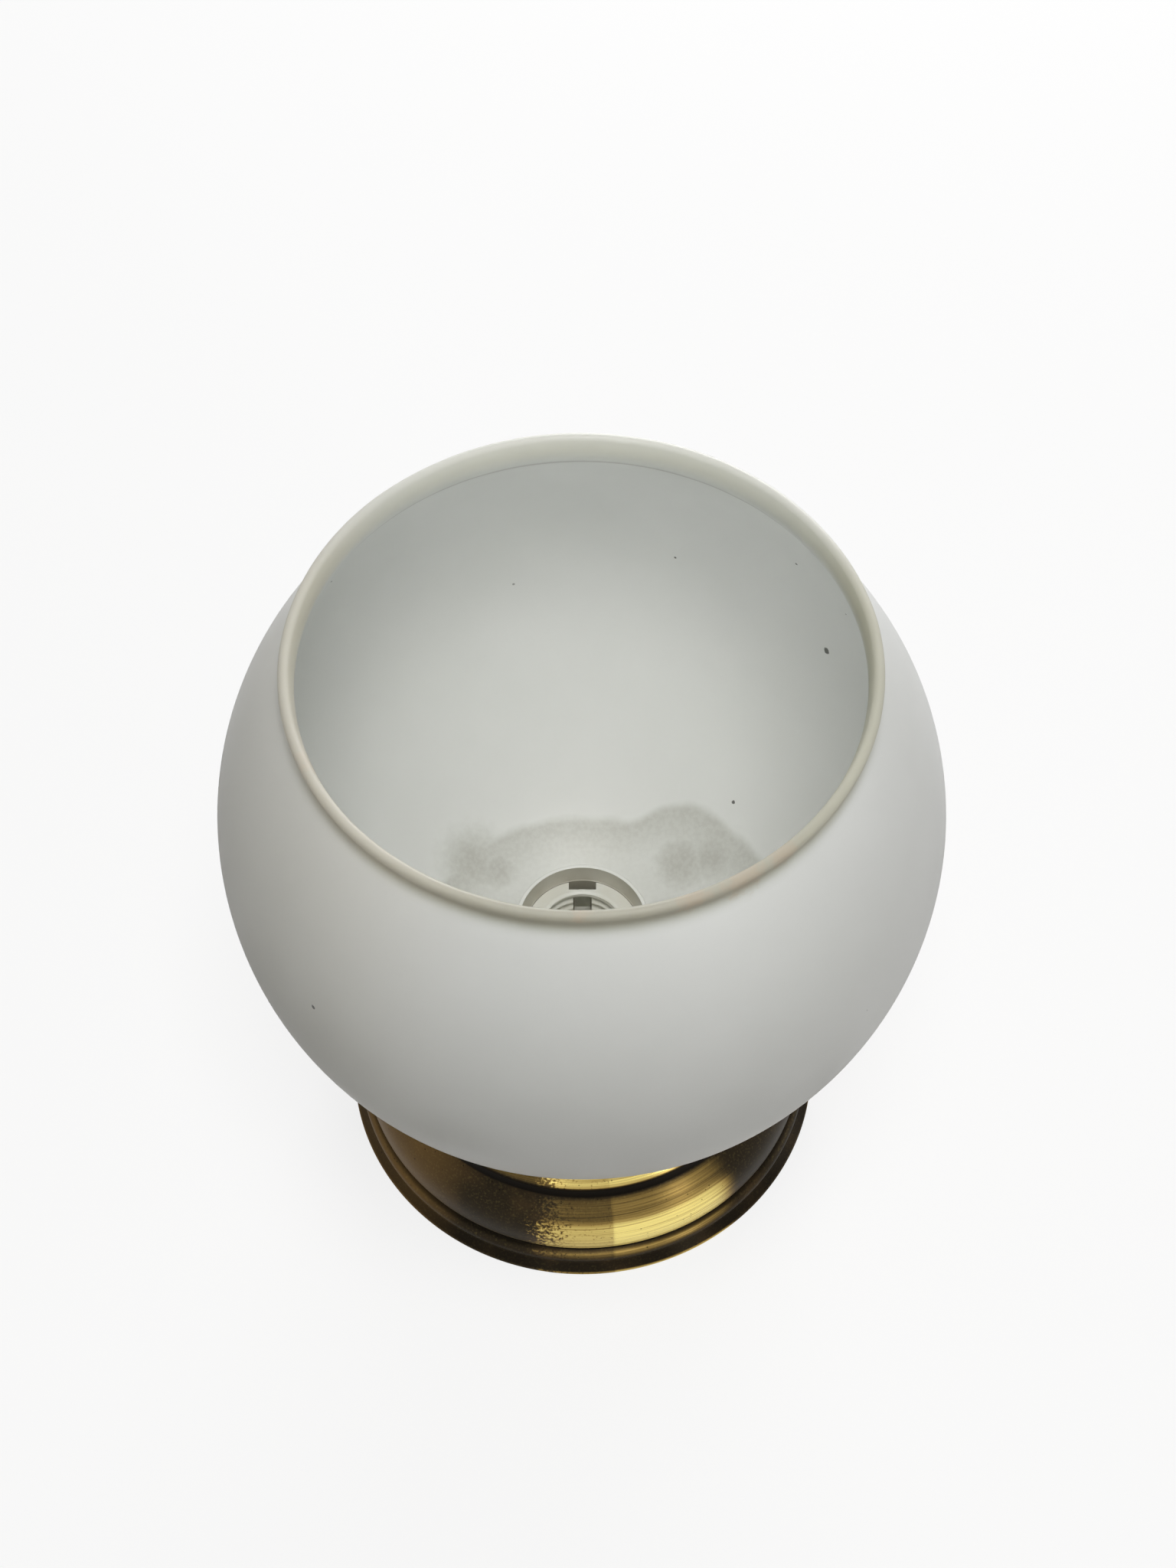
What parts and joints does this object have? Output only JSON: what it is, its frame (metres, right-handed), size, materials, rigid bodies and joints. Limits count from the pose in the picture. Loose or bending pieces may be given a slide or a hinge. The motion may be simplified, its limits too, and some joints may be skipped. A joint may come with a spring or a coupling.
{
  "type": "ceiling lamp",
  "caption": "Small ceiling lamp: open frosted opal glass globe on a spun antique brass canopy, with a screw lampholder inside.",
  "frame": {"origin": "centre of the canopy's base plane, the face that meets the ceiling", "axes": "+Z along the lamp's axis from the base plane through lampholder and globe to the globe's mouth (downwards when it hangs), +X along the mounting bracket and its two side screws"},
  "size_m": [0.2, 0.2, 0.2198],
  "materials": {
    "opal_glass": "frosted opal glass, satin outside and smoother inside",
    "antique_brass": "spun sheet, antiqued dark in the recesses, lacquered",
    "screw_brass": "turned and knurled, aged",
    "contact_brass": "stamped, plain",
    "white_holder": "white thermoset, semi-gloss",
    "insert_ceramic": "off-white, semi-gloss",
    "base_ceramic": "unglazed steatite",
    "gasket_rubber": "matt black",
    "slip_fibre": "vulcanised fibre",
    "steel_zinc": "zinc-plated",
    "block_plastic": "aged white polyamide",
    "bush_plastic": "black polyethylene",
    "lead_brown": "PVC insulation",
    "lead_blue": "PVC insulation",
    "lead_green": "PVC insulation, green and yellow"
  },
  "bodies": {
    "mount": {"canopy": "antique_brass", "holder_skirt": "white_holder", "thread_insert": "insert_ceramic", "shade_seat": "antique_brass", "shade_gasket": "gasket_rubber", "holder_cap": "white_holder", "cap_grub_screw": "steel_zinc", "contact_base": "base_ceramic", "contact_spring": "steel_zinc", "holder_terminals": "contact_brass", "holder_terminal_screws": "steel_zinc", "threaded_nipple": "steel_zinc", "nipple_bush": "bush_plastic", "nipple_nut": "steel_zinc", "lock_washer": "steel_zinc", "earth_tag": "contact_brass", "mounting_bracket": "steel_zinc", "terminal_block": "block_plastic", "terminal_sleeves": "contact_brass", "terminal_screws": "steel_zinc", "block_screw": "steel_zinc", "earth_screw": "contact_brass", "earth_washer": "steel_zinc", "wire_live": "lead_brown", "wire_neutral": "lead_blue", "wire_earth": "lead_green"},
    "glass_carrier": {"clamp_gasket": "gasket_rubber"},
    "shade": {"glass_shade": "opal_glass"},
    "ring_carrier": {"ring_washer": "slip_fibre"},
    "clamp_ring": {"shade_ring": "white_holder"},
    "centre_contact": {"contact_pin": "contact_brass"},
    "side_tongue": {"side_contact": "contact_brass"},
    "washer_left": {"screw_washer_left": "screw_brass"},
    "screw_left": {"side_screw_left": "screw_brass"},
    "washer_right": {"screw_washer_right": "screw_brass"},
    "screw_right": {"side_screw_right": "screw_brass"}
  },
  "joints": [
    {"name": "glass_lift", "type": "slide", "parent": "mount", "child": "glass_carrier", "axis": [0, 0, 1], "range_m": [0, 0.038]},
    {"name": "glass_turn", "type": "hinge", "parent": "glass_carrier", "child": "shade", "pos_m": [0, 0, 0.1], "axis": [0, 0, 1], "continuous": true},
    {"name": "ring_rise", "type": "slide", "parent": "glass_carrier", "child": "ring_carrier", "axis": [0, 0, 1], "range_m": [0, 0.0151]},
    {"name": "ring_turn", "type": "hinge", "parent": "ring_carrier", "child": "clamp_ring", "pos_m": [0, 0, 0.06], "axis": [0, 0, 1], "range_deg": [0, 2160]},
    {"name": "centre_press", "type": "slide", "parent": "mount", "child": "centre_contact", "axis": [0, 0, -1], "range_m": [0, 0.002], "stiffness_N_per_m": 1500, "deforming": ["contact_spring"]},
    {"name": "tongue_flex", "type": "hinge", "parent": "mount", "child": "side_tongue", "pos_m": [0, 0.0154, 0.0644], "axis": [-1, 0, 0], "range_deg": [0, 3], "stiffness_Nm_per_rad": 0.3},
    {"name": "screw_travel_left", "type": "slide", "parent": "mount", "child": "washer_left", "axis": [-1, 0, 0], "range_m": [0, 0.0028]},
    {"name": "screw_turn_left", "type": "hinge", "parent": "washer_left", "child": "screw_left", "pos_m": [-0.0746, 0, 0.016], "axis": [-1, 0, 0], "range_deg": [0, 1444]},
    {"name": "screw_travel_right", "type": "slide", "parent": "mount", "child": "washer_right", "axis": [1, 0, 0], "range_m": [0, 0.0028]},
    {"name": "screw_turn_right", "type": "hinge", "parent": "washer_right", "child": "screw_right", "pos_m": [0.0746, 0, 0.016], "axis": [1, 0, 0], "range_deg": [0, 1444]}
  ],
  "couplings": [
    {"joint": "ring_rise", "follows": "ring_turn", "m_per_rad": 0.00039789},
    {"joint": "screw_turn_left", "follows": "screw_travel_left", "rad_per_m": 8976},
    {"joint": "screw_turn_right", "follows": "screw_travel_right", "rad_per_m": 8976}
  ]
}
